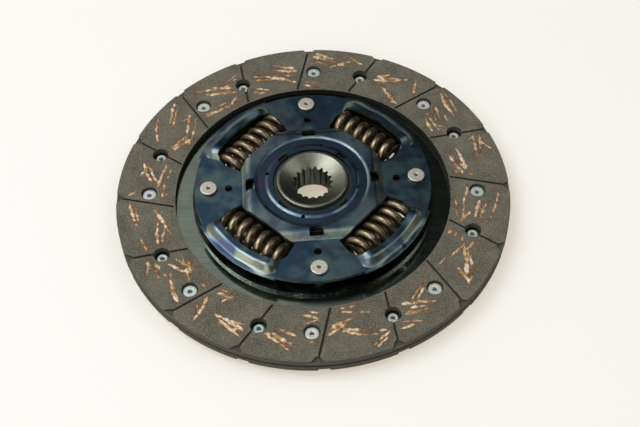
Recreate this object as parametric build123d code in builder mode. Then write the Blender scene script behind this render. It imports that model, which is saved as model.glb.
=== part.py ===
"""Single-plate clutch disc with four damper springs, in millimetres.

The origin is on the hub axis, in the middle of the facing pack. +Z points along the axis
to the side that carries the retaining plate. Angles are in degrees, counted from +X.

The disc side holds the facings, the waved cushion plate, both spring plates, the stop pins
and the friction pack. The hub turns against it until its flange meets the stop pins, and
the four coil springs lie in windows that the plates and the flange share.
"""

import os
from math import asin, cos, degrees, radians, sin, sqrt

from build123d import *

# ---- friction facings ---------------------------------------------------------------
facing_outer_diameter = 200.0
facing_inner_diameter = 140.0
facing_thickness = 3.5
facing_edge_chamfer = 0.3
groove_count = 16
groove_width = 1.2
groove_depth = 1.5
groove_offset = 22.4          # distance of a groove's centre line from the disc's axis
groove_outer_angle = 90.0     # where the first groove meets the rim
groove_inner_wall = 0.6       # wall left between a groove's round end and the inner edge
flare_width = 6.4             # each groove opens at the rim into a shallow flare
flare_length = 2.4
flare_side_angle = 50.0

# ---- facing rivets ------------------------------------------------------------------
rivet_count = 8
rivet_circle_radius = 83.55
front_rivet_angle = 88.4
rear_rivet_angle = 70.8
rivet_head_diameter = 7.0
rivet_head_thickness = 0.82
rivet_shank_diameter = 4.0
rivet_bore_diameter = 2.4
rivet_tail_diameter = 5.2
rivet_tail_thickness = 0.87
rivet_seat_land = 1.0         # facing left under a rivet head
rivet_seat_diameter = 8.2
rivet_fit = 0.06              # radial room of the shank in its holes

# ---- cushion plate ------------------------------------------------------------------
cushion_thickness = 0.7
cushion_wave = 0.3            # each paddle stands this far off the middle
cushion_margin = 2.5          # paddles end this far inside the facing's rim
cushion_ring_radius = 60.0
paddle_ramp_start = 0.6       # from the facing's inner edge outwards
paddle_ramp_length = 3.0
paddle_slot_width = 2.0
paddle_slot_hole = 4.0        # round end of each slot, just inside the facing's edge
pin_tab_width = 14.0

# ---- spring plates ------------------------------------------------------------------
plate_thickness = 2.0
plate_gap = 6.65              # free height between the two rims
disc_plate_diameter = 122.6
retaining_plate_diameter = 119.2
crown_foot_reach = 35.2       # foot of the crown's four sides, which face the stop pins
crown_corner_radius = 9.0     # the windows cut these corners away
crown_rise_front = 2.7
crown_wall_slope = 1.1        # run of the crown's wall for each unit of its rise
crown_bend_share = 1.85       # bend over the crown's edge, as a share of its rise
foot_bend_share = 0.37
underside_bend_share = 0.75   # the bend under the crown's foot grows by this share of the sheet
crown_inner_bend = 0.2
bead_outer_radius = 28.9
bead_inner_radius = 22.5
bead_slope = 1.3
bead_depth = 0.5
bead_shoulder_bend = 2.6
bead_floor_bend = 1.0
bead_margin = 1.2             # flat on both sides of the bead that its section takes in
plate_bore_diameter = 40.0
rim_notch_angle = 317.3
rim_notch_radius = 1.1

# ---- damper windows and springs -----------------------------------------------------
window_count = 4
window_angle = 47.3
window_outer_radius = 52.0
window_inner_reach = 35.0     # straight inner edge, from the axis
window_inner_half = 12.2      # half its length
window_foot_reach = 33.3      # from there the outline runs back over the crown's wall
window_foot_half = 18.2
window_point_reach = 41.9     # the ends run out to a blunt point
window_end_bulge = 2.0
window_end_room = 0.3         # between a spring and the window's end
lip_rise = 2.4
lip_skirt_radius = 61.0       # where the lip's outer slope has run out under the sheet's face
lip_skirt_drop = 0.25
lip_foot_radius = 58.8
lip_crest_outer = 55.3
lip_crest_inner = 51.2
lip_inner_foot = 47.2
lip_full_angle = 20.6         # half the arc on which the lip stands at full height
lip_fade_angle = 22.4
lip_end_angle = 24.0
lip_fade_share = 0.45
lip_end_share = -0.3          # the lip's ends run out inside the sheet
lip_end_draw = 1.6            # the outer slope draws in towards the lip's ends
lip_foot_bend = 3.5
lip_crest_bend = 2.2
spring_axis_radius = 42.3
spring_outer_diameter = 16.6
spring_wire_diameter = 4.1
spring_length = 36.4
spring_coils = 6.2
spring_end_gap = 0.05
window_half_length = spring_length / 2 + window_end_room

# ---- stop pins ----------------------------------------------------------------------
pin_circle_radius = 52.45
pin_body_diameter = 8.0
pin_shank_diameter = 6.0
pin_head_diameter = 8.5
pin_head_thickness = 1.65
pin_head_round = 0.5
pin_dimple_diameter = 2.6
pin_dimple_depth = 0.6
pin_fit = 0.05

# ---- holes of the retaining plate ---------------------------------------------------
lug_hole_reach = 31.5
lug_hole_width = 7.0
lug_hole_height = 4.6
lug_hole_round = 0.6
gauge_hole_reach = 42.45
gauge_hole_diameter = 4.0
oil_hole_reach = 23.2
oil_hole_diameter = 2.0
oil_hole_angle = 77.4
notch_angle = 45.0
notch_width = 5.6
notch_depth = 2.0
notch_round = 1.0

# ---- hub ----------------------------------------------------------------------------
hub_front_diameter = 36.5
hub_rear_diameter = 34.0
hub_front_height = 14.8       # front end, above the middle of the facings
hub_rear_depth = 8.0          # rear end, below the middle of the facings
hub_rim_width = 1.7
hub_rim_round = 0.95
hub_dish_edge_round = 0.4
hub_rear_chamfer = 0.6
hub_dish_depth = 3.1
flange_diameter = 113.0
flange_thickness = 4.0
flange_window_room = 0.8
flange_window_round = 0.8
spline_teeth = 18
spline_major_diameter = 20.4
spline_minor_diameter = 18.2
spline_gap_at_minor = 1.95
spline_gap_at_major = 1.25
spline_lead = 0.5
spline_rear_end = -1.6
rear_relief_diameter = 22.0
rear_relief_length = 2.4
rear_mouth_diameter = 28.0
twist_limit = 8.0             # the hub turns this far each way, degrees
stop_room = 0.3

# ---- friction pack ------------------------------------------------------------------
running_gap = 0.05            # between flat faces that rub
sleeve_fit = 0.08             # radial room of the hub in its sleeve and bush
friction_washer_diameter = 60.0
front_washer_thickness = 1.4
sleeve_wall = 1.55
sleeve_height = 12.0          # end of the sleeve, above the middle of the facings
thrust_washer_thickness = 0.9
lug_width = 4.6
lug_thickness = 1.0
lug_top_recess = 0.4
disc_spring_thickness = 0.6
disc_spring_bore = 46.6
rear_washer_thickness = 2.45
rear_washer_bore = 44.8
bush_wall = 1.85
bush_collar_diameter = 44.2
bush_tail = 0.8

# ---- levels and radii that follow ---------------------------------------------------
facing_outer_radius = facing_outer_diameter / 2
facing_inner_radius = facing_inner_diameter / 2
facing_base = cushion_thickness / 2 + cushion_wave
facing_face = facing_base + facing_thickness
rivet_land_top = facing_base + rivet_seat_land
rivet_tail_face = cushion_wave - cushion_thickness / 2
disc_plate_top = cushion_thickness / 2 + plate_thickness
damper_plane = disc_plate_top + plate_gap / 2
retaining_plate_top = damper_plane + plate_gap / 2 + plate_thickness
flange_top = damper_plane + flange_thickness / 2
flange_bottom = damper_plane - flange_thickness / 2
crown_top = retaining_plate_top + crown_rise_front
crown_inside = crown_top - plate_thickness
bead_inside = crown_inside - bead_depth
rear_crown_inside = flange_bottom - running_gap - rear_washer_thickness
crown_rise_rear = disc_plate_top - rear_crown_inside
hub_front_radius = hub_front_diameter / 2
hub_rear_radius = hub_rear_diameter / 2
sleeve_inner_radius = hub_front_radius + sleeve_fit
sleeve_outer_radius = sleeve_inner_radius + sleeve_wall
bush_inner_radius = hub_rear_radius + sleeve_fit
bush_outer_radius = bush_inner_radius + bush_wall
pin_angle = window_angle + 180 / window_count
spring_coil_radius = (spring_outer_diameter - spring_wire_diameter) / 2


def radial_plane(angle):
    """Plane through the disc's axis: local x points outwards at the angle, local y is up."""
    return Plane.XZ.rotated((0, 0, angle))


# ---- facings ------------------------------------------------------------------------
groove_start = sqrt((facing_inner_radius + groove_inner_wall) ** 2 - groove_offset**2)
groove_end = sqrt(facing_outer_radius**2 - groove_offset**2)
groove_turn = groove_outer_angle - degrees(asin(groove_offset / facing_outer_radius))
groove_floor = Plane.XY.offset(facing_face - groove_depth)

with BuildPart() as facing_front:
    with BuildSketch(Plane.XY.offset(facing_base)):
        Circle(facing_outer_radius)
        Circle(facing_inner_radius, mode=Mode.SUBTRACT)
    extrude(amount=facing_thickness)
    face_edges = facing_front.edges().filter_by(GeomType.CIRCLE).group_by(Axis.Z)[-1]
    chamfer(face_edges.sort_by(SortBy.RADIUS)[-1], length=facing_edge_chamfer)
    with BuildSketch(Plane.XY.offset(facing_base)):
        with PolarLocations(rivet_circle_radius, rivet_count, front_rivet_angle):
            Circle(rivet_shank_diameter / 2 + rivet_fit)
        with PolarLocations(rivet_circle_radius, rivet_count, rear_rivet_angle):
            Circle(rivet_seat_diameter / 2)
    extrude(amount=facing_thickness, mode=Mode.SUBTRACT)
    with BuildSketch(Plane.XY.offset(rivet_land_top)):
        with PolarLocations(rivet_circle_radius, rivet_count, front_rivet_angle):
            Circle(rivet_seat_diameter / 2)
    extrude(amount=facing_thickness, mode=Mode.SUBTRACT)
    with BuildSketch(groove_floor):
        with PolarLocations(0, groove_count, groove_turn):
            with Locations(((groove_start + groove_end) / 2 + groove_width, groove_offset)):
                SlotOverall(groove_end - groove_start + 2 * groove_width, groove_width)
        with PolarLocations(facing_outer_radius - flare_length / 2, groove_count, groove_outer_angle):
            Trapezoid(
                flare_width + groove_width,
                flare_length + groove_width,
                flare_side_angle,
                rotation=90,
            )
    extrude(amount=groove_depth, mode=Mode.SUBTRACT)
facing_front.part.label = "facing_front"

# the rear facing is the same ring, turned over about the line between two paddles
turnover_angle = (front_rivet_angle + rear_rivet_angle) / 2
turnover_axis = Axis((0, 0, 0), (cos(radians(turnover_angle)), sin(radians(turnover_angle)), 0))

with BuildPart() as facing_rear:
    add(facing_front.part.rotate(turnover_axis, 180))
facing_rear.part.label = "facing_rear"

# ---- facing rivets ------------------------------------------------------------------
rivet_head_top = rivet_land_top + rivet_head_thickness
rivet_tail_bottom = rivet_tail_face - rivet_tail_thickness

with BuildPart() as rivet:
    with BuildSketch(Plane.XZ):
        with BuildLine():
            Polyline(
                (rivet_bore_diameter / 2, rivet_tail_bottom),
                (rivet_tail_diameter / 2, rivet_tail_bottom),
                (rivet_tail_diameter / 2, rivet_tail_face),
                (rivet_shank_diameter / 2, rivet_tail_face),
                (rivet_shank_diameter / 2, rivet_land_top),
                (rivet_head_diameter / 2, rivet_land_top),
                (rivet_head_diameter / 2, rivet_head_top),
                (rivet_bore_diameter / 2, rivet_head_top),
                close=True,
            )
        make_face()
    revolve(axis=Axis.Z)

with BuildPart() as front_facing_rivets:
    with PolarLocations(rivet_circle_radius, rivet_count, front_rivet_angle):
        add(rivet.part)
front_facing_rivets.part.label = "front_facing_rivets"

with BuildPart() as rear_facing_rivets:
    add(front_facing_rivets.part.rotate(turnover_axis, 180))
rear_facing_rivets.part.label = "rear_facing_rivets"

# ---- cushion plate ------------------------------------------------------------------
paddle_pitch = 360 / (2 * rivet_count)
paddle_outer_radius = facing_outer_radius - cushion_margin
ramp_inner_radius = facing_inner_radius + paddle_ramp_start
ramp_outer_radius = ramp_inner_radius + paddle_ramp_length
half_sheet = cushion_thickness / 2
slot_hole_reach = facing_inner_radius + paddle_slot_hole / 2

with BuildPart() as cushion_plate:
    with BuildSketch(Plane.XY.offset(-half_sheet)):
        Circle(ramp_inner_radius)
        Circle(cushion_ring_radius, mode=Mode.SUBTRACT)
        with PolarLocations(pin_circle_radius, window_count, pin_angle):
            Circle(pin_tab_width / 2)
            with Locations((pin_tab_width / 2, 0)):
                Rectangle(pin_tab_width, pin_tab_width)
    extrude(amount=cushion_thickness)
    for paddle in range(2 * rivet_count):
        wave = cushion_wave if paddle % 2 == 0 else -cushion_wave
        with BuildSketch(radial_plane(turnover_angle + paddle * paddle_pitch)):
            with BuildLine():
                Polyline(
                    (facing_inner_radius, -half_sheet),
                    (ramp_inner_radius, -half_sheet),
                    (ramp_outer_radius, wave - half_sheet),
                    (paddle_outer_radius, wave - half_sheet),
                    (paddle_outer_radius, wave + half_sheet),
                    (ramp_outer_radius, wave + half_sheet),
                    (ramp_inner_radius, half_sheet),
                    (facing_inner_radius, half_sheet),
                    close=True,
                )
            make_face()
        revolve(axis=Axis.Z, revolution_arc=paddle_pitch)
    with BuildSketch(Plane.XY.offset(-facing_base)):
        with PolarLocations(0, 2 * rivet_count, turnover_angle):
            with Locations((slot_hole_reach + facing_outer_radius / 2, 0)):
                Rectangle(facing_outer_radius, paddle_slot_width)
            with Locations((slot_hole_reach, 0)):
                Circle(paddle_slot_hole / 2)
        for angle in (front_rivet_angle, rear_rivet_angle):
            with PolarLocations(rivet_circle_radius, rivet_count, angle):
                Circle(rivet_shank_diameter / 2 + rivet_fit)
        with PolarLocations(pin_circle_radius, window_count, pin_angle):
            Circle(pin_shank_diameter / 2 + pin_fit)
    extrude(amount=2 * facing_base, mode=Mode.SUBTRACT)
cushion_plate.part.label = "cushion_plate"

# ---- window outline, shared by both spring plates -----------------------------------
corner_reach = sqrt(window_outer_radius**2 - window_half_length**2)
blunt_point = window_half_length + window_end_bulge

with BuildSketch() as window_outline:
    with BuildLine():
        ThreePointArc(
            (corner_reach, -window_half_length),
            (window_outer_radius, 0),
            (corner_reach, window_half_length),
        )
        Polyline(
            (corner_reach, window_half_length),
            (window_point_reach, blunt_point),
            (window_foot_reach, window_foot_half),
            (window_inner_reach, window_inner_half),
            (window_inner_reach, -window_inner_half),
            (window_foot_reach, -window_foot_half),
            (window_point_reach, -blunt_point),
            (corner_reach, -window_half_length),
        )
    make_face()


def lip_form(surface):
    """Ridge of one window lip, which grows out of a surface at this height and runs out at
    both ends. Its outer slope starts under the surface, so that it leaves it softly."""
    root = surface - plate_thickness / 2
    ends = (
        (lip_end_angle, lip_end_share, lip_end_draw),
        (lip_fade_angle, lip_fade_share, lip_end_draw / 2),
        (lip_full_angle, 1.0, 0.0),
    )
    stations = [(-angle, share, draw) for angle, share, draw in ends]
    stations += [(-lip_full_angle / 2, 1.0, 0.0), (0.0, 1.0, 0.0), (lip_full_angle / 2, 1.0, 0.0)]
    stations += [(angle, share, draw) for angle, share, draw in reversed(ends)]
    with BuildPart() as ridge:
        for angle, share, draw in stations:
            crest = surface + lip_rise * share
            with BuildSketch(radial_plane(angle)):
                with BuildLine():
                    FilletPolyline(
                        (lip_skirt_radius, surface - lip_skirt_drop),
                        (lip_foot_radius - draw, surface - lip_skirt_drop * abs(share - 1) / 2),
                        (lip_crest_outer - draw, crest),
                        (lip_crest_inner, crest),
                        (lip_inner_foot, root),
                        radius=(lip_foot_bend, lip_crest_bend, lip_crest_bend),
                    )
                    Polyline(
                        (lip_inner_foot, root),
                        (lip_skirt_radius, root),
                        (lip_skirt_radius, surface - lip_skirt_drop),
                    )
                make_face()
        loft()
    return ridge.part


def crown_form(foot_level, foot_reach, rise, bend):
    """Block of the crown: a square with leaning walls and a bend over its top edge."""
    run = crown_wall_slope * rise
    with BuildPart() as block:
        with BuildSketch(Plane.XY.offset(foot_level)):
            RectangleRounded(2 * foot_reach, 2 * foot_reach, crown_corner_radius, pin_angle)
        with BuildSketch(Plane.XY.offset(foot_level + rise)):
            side = 2 * (foot_reach - run)
            RectangleRounded(side, side, crown_corner_radius - run, pin_angle)
        loft(ruled=True)
        fillet(block.faces().sort_by(Axis.Z)[-1].edges(), radius=bend)
    return block.part


def bead_section(level, closing_level):
    """Section between the bead's line at one face of the crown and a closing level."""
    with BuildSketch(Plane.XZ) as section:
        with BuildLine():
            FilletPolyline(
                (bead_outer_radius + bead_margin, level),
                (bead_outer_radius, level),
                (bead_outer_radius - bead_slope, level - bead_depth),
                (bead_inner_radius + bead_slope, level - bead_depth),
                (bead_inner_radius, level),
                (bead_inner_radius - bead_margin, level),
                radius=(bead_shoulder_bend, bead_floor_bend, bead_floor_bend, bead_shoulder_bend),
            )
            Polyline(
                (bead_inner_radius - bead_margin, level),
                (bead_inner_radius - bead_margin, closing_level),
                (bead_outer_radius + bead_margin, closing_level),
                (bead_outer_radius + bead_margin, level),
            )
        make_face()
    return section.sketch


def spring_plate(diameter, bore, crown_rise, beaded):
    """Pressed spring plate above the damper's middle plane: rim, crown, bead, lips, windows."""
    rim_inside = plate_gap / 2
    rim_face = rim_inside + plate_thickness
    crown_face = rim_face + crown_rise
    crown_underside = rim_inside + crown_rise
    wall_stretch = sqrt(1 + crown_wall_slope**2)
    hollow_foot_reach = crown_foot_reach + plate_thickness * (crown_wall_slope - wall_stretch)
    foot_bend = foot_bend_share * crown_rise
    underside_bend = foot_bend + underside_bend_share * plate_thickness
    crown_block = crown_form(rim_face, crown_foot_reach, crown_rise, crown_bend_share * crown_rise)
    crown_hollow = crown_form(rim_inside, hollow_foot_reach, crown_rise, crown_inner_bend)
    ridge = lip_form(rim_face)
    hollow = lip_form(rim_inside)
    with BuildPart() as plate:
        with BuildSketch(Plane.XY.offset(rim_inside)):
            Circle(diameter / 2)
        extrude(amount=plate_thickness)
        for block, level, bend, mode in (
            (crown_block, rim_face, foot_bend, Mode.ADD),
            (crown_hollow, rim_inside, underside_bend, Mode.SUBTRACT),
        ):
            add(block, mode=mode)
            level_edges = plate.edges().filter_by_position(Axis.Z, level, level)
            fillet(level_edges.filter_by(lambda edge: edge.length < diameter), radius=bend)
        if beaded:
            revolve(bead_section(crown_face, crown_face + bead_margin), mode=Mode.SUBTRACT)
            revolve(bead_section(crown_underside, crown_underside + bead_margin))
        with PolarLocations(0, window_count, window_angle):
            add(ridge)
            add(hollow, mode=Mode.SUBTRACT)
        with BuildSketch():
            Circle(bore / 2)
            with PolarLocations(0, window_count, window_angle):
                add(window_outline.sketch)
            with PolarLocations(pin_circle_radius, window_count, pin_angle):
                Circle(pin_shank_diameter / 2 + pin_fit)
            with PolarLocations(gauge_hole_reach, window_count, pin_angle):
                Circle(gauge_hole_diameter / 2)
        extrude(amount=2 * crown_face, mode=Mode.SUBTRACT)
    return plate.part


# ---- retaining plate, in front ------------------------------------------------------
front_plate_form = spring_plate(
    retaining_plate_diameter, plate_bore_diameter, crown_rise_front, beaded=True
)

with BuildPart() as retaining_plate:
    with Locations((0, 0, damper_plane)):
        add(front_plate_form)
    with BuildSketch(Plane.XY.offset(damper_plane)):
        with PolarLocations(lug_hole_reach, window_count, pin_angle):
            RectangleRounded(lug_hole_height, lug_hole_width, lug_hole_round)
        with PolarLocations(oil_hole_reach, window_count, oil_hole_angle):
            Circle(oil_hole_diameter / 2)
        with PolarLocations(plate_bore_diameter / 2, window_count, notch_angle):
            RectangleRounded(2 * notch_depth, notch_width, notch_round)
        with PolarLocations(retaining_plate_diameter / 2, 1, rim_notch_angle):
            Circle(rim_notch_radius)
    extrude(amount=crown_top, mode=Mode.SUBTRACT)
retaining_plate.part.label = "retaining_plate"

# ---- disc plate, behind -------------------------------------------------------------
rear_bore = 2 * (bush_outer_radius + pin_fit)
rear_plate_form = spring_plate(disc_plate_diameter, rear_bore, crown_rise_rear, beaded=False)
rear_plate_mirrored = rear_plate_form.mirror(Plane.XY)

with BuildPart() as disc_plate:
    with Locations((0, 0, damper_plane)):
        add(rear_plate_mirrored)
disc_plate.part.label = "disc_plate"

# ---- stop pins ----------------------------------------------------------------------
pin_rear_seat = -half_sheet
pin_front_seat = retaining_plate_top
pin_body_bottom = disc_plate_top
pin_body_top = retaining_plate_top - plate_thickness
pin_head_radius = pin_head_diameter / 2

with BuildPart() as stop_pin:
    with BuildSketch(Plane.XZ):
        with BuildLine():
            FilletPolyline(
                (0, pin_rear_seat - pin_head_thickness),
                (pin_head_radius, pin_rear_seat - pin_head_thickness),
                (pin_head_radius, pin_rear_seat),
                radius=pin_head_round,
            )
            Polyline(
                (pin_head_radius, pin_rear_seat),
                (pin_shank_diameter / 2, pin_rear_seat),
                (pin_shank_diameter / 2, pin_body_bottom),
                (pin_body_diameter / 2, pin_body_bottom),
                (pin_body_diameter / 2, pin_body_top),
                (pin_shank_diameter / 2, pin_body_top),
                (pin_shank_diameter / 2, pin_front_seat),
                (pin_head_radius, pin_front_seat),
            )
            FilletPolyline(
                (pin_head_radius, pin_front_seat),
                (pin_head_radius, pin_front_seat + pin_head_thickness),
                (0, pin_front_seat + pin_head_thickness),
                radius=pin_head_round,
            )
            Line((0, pin_front_seat + pin_head_thickness), (0, pin_rear_seat - pin_head_thickness))
        make_face()
    revolve(axis=Axis.Z)
    with Locations(
        (0, 0, pin_front_seat + pin_head_thickness),
        Location((0, 0, pin_rear_seat - pin_head_thickness), (180, 0, 0)),
    ):
        Cone(
            pin_dimple_diameter / 4,
            pin_dimple_diameter / 2,
            pin_dimple_depth,
            align=(Align.CENTER, Align.CENTER, Align.MAX),
            mode=Mode.SUBTRACT,
        )

# ---- damper springs -----------------------------------------------------------------
spring_pitch = spring_length / spring_coils

with BuildPart() as damper_spring:
    with BuildLine() as coil:
        Helix(
            pitch=spring_pitch,
            height=spring_length + 2 * spring_wire_diameter,
            radius=spring_coil_radius,
            center=(0, 0, -spring_length / 2 - spring_wire_diameter),
        )
    with BuildSketch(Plane(origin=coil.line @ 0, z_dir=coil.line % 0)):
        Circle(spring_wire_diameter / 2)
    sweep(path=coil.line, is_frenet=True)
    ground_length = spring_length - 2 * spring_end_gap
    with BuildSketch(Plane.XY.offset(-ground_length / 2)):
        Circle(spring_outer_diameter)
    extrude(amount=ground_length, mode=Mode.INTERSECT)

# ---- hub ----------------------------------------------------------------------------
spline_major_radius = spline_major_diameter / 2
spline_minor_radius = spline_minor_diameter / 2
dish_bottom = hub_front_height - hub_dish_depth
stop_half_angle = twist_limit + degrees(asin((pin_body_diameter / 2 + stop_room) / pin_circle_radius))
stop_floor_radius = pin_circle_radius - pin_body_diameter / 2 - stop_room
flange_window_height = spring_outer_diameter + 2 * flange_window_room

with BuildSketch() as spline_gap:
    with BuildLine():
        Polyline(
            (spline_minor_radius - spline_lead, -spline_gap_at_minor / 2),
            (spline_major_radius, -spline_gap_at_major / 2),
            (spline_major_radius, spline_gap_at_major / 2),
            (spline_minor_radius - spline_lead, spline_gap_at_minor / 2),
            close=True,
        )
    make_face()

with BuildSketch() as stop_slot:
    with BuildLine():
        slot_floor = CenterArc((0, 0), stop_floor_radius, -stop_half_angle, 2 * stop_half_angle)
        slot_mouth = CenterArc((0, 0), flange_diameter, -stop_half_angle, 2 * stop_half_angle)
        Line(slot_floor @ 0, slot_mouth @ 0)
        Line(slot_floor @ 1, slot_mouth @ 1)
    make_face()

with BuildPart() as hub:
    with BuildSketch(Plane.XZ):
        with BuildLine():
            Polyline(
                (spline_minor_radius, dish_bottom - spline_lead),
                (spline_major_radius, dish_bottom),
                (hub_front_radius - hub_rim_width, hub_front_height),
                (hub_front_radius, hub_front_height),
                (hub_front_radius, flange_top),
                (flange_diameter / 2, flange_top),
                (flange_diameter / 2, flange_bottom),
                (hub_rear_radius, flange_bottom),
                (hub_rear_radius, -hub_rear_depth),
                (rear_mouth_diameter / 2, -hub_rear_depth),
                (rear_relief_diameter / 2, spline_rear_end - rear_relief_length),
                (rear_relief_diameter / 2, spline_rear_end),
                (spline_major_radius, spline_rear_end),
                (spline_minor_radius, spline_rear_end + spline_lead),
                close=True,
            )
        make_face()
    revolve(axis=Axis.Z)
    rim_edges = hub.edges().filter_by(GeomType.CIRCLE).group_by(Axis.Z)[-1].sort_by(SortBy.RADIUS)
    fillet(rim_edges[0], radius=hub_dish_edge_round)
    rim_edges = hub.edges().filter_by(GeomType.CIRCLE).group_by(Axis.Z)[-1].sort_by(SortBy.RADIUS)
    fillet(rim_edges[-1], radius=hub_rim_round)
    rear_edges = hub.edges().filter_by(GeomType.CIRCLE).group_by(Axis.Z)[0]
    chamfer(rear_edges.sort_by(SortBy.RADIUS)[-1], length=hub_rear_chamfer)
    with BuildSketch(Plane.XY.offset(spline_rear_end)):
        with PolarLocations(0, spline_teeth):
            add(spline_gap.sketch)
    extrude(amount=hub_front_height, mode=Mode.SUBTRACT)
    with BuildSketch(Plane.XY.offset(flange_bottom)):
        with PolarLocations(spring_axis_radius, window_count, window_angle):
            RectangleRounded(flange_window_height, spring_length, flange_window_round)
        with PolarLocations(0, window_count, pin_angle):
            add(stop_slot.sketch)
    extrude(amount=flange_thickness, mode=Mode.SUBTRACT)
hub.part.label = "hub"

# ---- friction pack ------------------------------------------------------------------
front_washer_bottom = flange_top + running_gap
thrust_bottom = front_washer_bottom + front_washer_thickness
thrust_top = thrust_bottom + thrust_washer_thickness
washer_radius = friction_washer_diameter / 2

with BuildPart() as friction_washer_front:
    with BuildSketch(Plane.XY.offset(front_washer_bottom)):
        Circle(washer_radius)
        Circle(sleeve_inner_radius, mode=Mode.SUBTRACT)
    extrude(amount=front_washer_thickness)
    with BuildSketch(Plane.XY.offset(front_washer_bottom)):
        Circle(sleeve_outer_radius)
        Circle(sleeve_inner_radius, mode=Mode.SUBTRACT)
    extrude(amount=sleeve_height - front_washer_bottom)
friction_washer_front.part.label = "friction_washer_front"

lug_middle_radius = plate_bore_diameter / 2 + pin_fit + lug_thickness / 2

with BuildPart() as thrust_washer:
    with BuildSketch(Plane.XY.offset(thrust_bottom)):
        Circle(washer_radius)
        Circle(sleeve_outer_radius + pin_fit, mode=Mode.SUBTRACT)
    extrude(amount=thrust_washer_thickness)
    with BuildSketch(Plane.XY.offset(thrust_bottom)):
        with PolarLocations(lug_middle_radius, window_count, notch_angle):
            Rectangle(lug_thickness, lug_width)
    extrude(amount=crown_top - lug_top_recess - thrust_bottom)
thrust_washer.part.label = "thrust_washer"

with BuildPart() as disc_spring:
    with BuildSketch(Plane.XZ):
        with BuildLine():
            Polyline(
                (washer_radius, thrust_top),
                (washer_radius, thrust_top + disc_spring_thickness),
                (disc_spring_bore / 2, bead_inside - pin_fit),
                (disc_spring_bore / 2, bead_inside - pin_fit - disc_spring_thickness),
                close=True,
            )
        make_face()
    revolve(axis=Axis.Z)
disc_spring.part.label = "disc_spring"

with BuildPart() as friction_washer_rear:
    with BuildSketch(Plane.XY.offset(rear_crown_inside)):
        Circle(washer_radius)
        Circle(rear_washer_bore / 2, mode=Mode.SUBTRACT)
    extrude(amount=rear_washer_thickness)
friction_washer_rear.part.label = "friction_washer_rear"

with BuildPart() as hub_bush:
    with BuildSketch(Plane.XY.offset(rear_crown_inside)):
        Circle(bush_collar_diameter / 2)
        Circle(bush_inner_radius, mode=Mode.SUBTRACT)
    extrude(amount=rear_washer_thickness)
    with BuildSketch(Plane.XY.offset(rear_crown_inside)):
        Circle(bush_outer_radius)
        Circle(bush_inner_radius, mode=Mode.SUBTRACT)
    extrude(amount=-(plate_thickness + bush_tail))
hub_bush.part.label = "hub_bush"

# ---- write one file for each node ---------------------------------------------------
os.makedirs("parts", exist_ok=True)
single_pieces = (
    facing_front,
    facing_rear,
    front_facing_rivets,
    rear_facing_rivets,
    cushion_plate,
    disc_plate,
    retaining_plate,
    hub,
    friction_washer_front,
    thrust_washer,
    disc_spring,
    friction_washer_rear,
    hub_bush,
)
for piece in single_pieces:
    export_step(piece.part, f"parts/{piece.part.label}.step")

for number in range(window_count):
    pin_turn = radians(pin_angle + number * 360 / window_count)
    pin_place = (pin_circle_radius * cos(pin_turn), pin_circle_radius * sin(pin_turn), 0)
    placed_pin = stop_pin.part.moved(Location(pin_place))
    placed_pin.label = f"stop_pin_{number + 1}"
    export_step(placed_pin, f"parts/{placed_pin.label}.step")

    spring_turn = radians(window_angle + number * 360 / window_count)
    spring_place = Plane(
        origin=(spring_axis_radius * cos(spring_turn), spring_axis_radius * sin(spring_turn), damper_plane),
        x_dir=(cos(spring_turn), sin(spring_turn), 0),
        z_dir=(-sin(spring_turn), cos(spring_turn), 0),
    )
    placed_spring = damper_spring.part.moved(spring_place.location)
    placed_spring.label = f"damper_spring_{number + 1}"
    export_step(placed_spring, f"parts/{placed_spring.label}.step")
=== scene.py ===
"""Finishes and fine shapes of a dry clutch disc with four damper springs.

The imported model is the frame. Its plates, facings, hub, pins and washers stay as they are
and get their finishes here. The coil springs, the facing rivets and the yarn that shows in
the facings are modelled here, each in the place of its node or on the face that carries it.

Lengths are in metres and the classes' angles in degrees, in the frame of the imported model:
the origin is on the hub's axis in the middle of the facing pack, and +Z leaves the disc on
the retaining plate's side.
"""

import logging
import random
from dataclasses import dataclass, field
from enum import Enum
from math import asin, atan2, cos, degrees, hypot, pi, radians, sin
from typing import Any, Iterable, Mapping, Sequence

import bpy
from mathutils import Matrix, Vector

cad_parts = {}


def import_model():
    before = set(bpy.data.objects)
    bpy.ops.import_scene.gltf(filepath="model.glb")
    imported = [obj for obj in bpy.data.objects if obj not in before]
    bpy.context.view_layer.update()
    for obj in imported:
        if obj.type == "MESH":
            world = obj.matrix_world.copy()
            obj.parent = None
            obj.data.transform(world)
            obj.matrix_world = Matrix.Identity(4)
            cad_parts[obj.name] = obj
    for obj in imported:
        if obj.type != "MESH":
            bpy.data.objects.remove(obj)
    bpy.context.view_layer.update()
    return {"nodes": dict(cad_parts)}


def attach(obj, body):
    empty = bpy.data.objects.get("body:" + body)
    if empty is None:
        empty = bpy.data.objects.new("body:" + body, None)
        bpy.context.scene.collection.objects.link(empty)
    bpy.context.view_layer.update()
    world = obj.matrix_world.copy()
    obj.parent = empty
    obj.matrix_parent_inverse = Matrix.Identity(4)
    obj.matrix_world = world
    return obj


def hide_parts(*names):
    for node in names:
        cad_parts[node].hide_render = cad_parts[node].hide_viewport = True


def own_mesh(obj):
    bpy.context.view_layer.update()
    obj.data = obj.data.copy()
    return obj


log = logging.getLogger("clutch_disc")

MM = 0.001
WELD = 0.002 * MM

Colour = tuple[float, float, float]
Point = tuple[float, float]
Range = tuple[float, float]
Band = tuple[float, float]  # a mark fades in from the first value to the second
Noise = tuple[float, float]  # size of a patch and number of finer octaves
Sliver = tuple[float, float, float, float, float]  # x, y, heading, length, half width


class Slot(Enum):
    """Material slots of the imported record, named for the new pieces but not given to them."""

    LINING = "friction_lining"
    RIVET = "rivet_steel"
    COIL = "coil_steel"


class Body(Enum):
    """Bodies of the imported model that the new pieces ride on."""

    DISC = "disc"
    SPRINGS = "springs"


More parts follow.
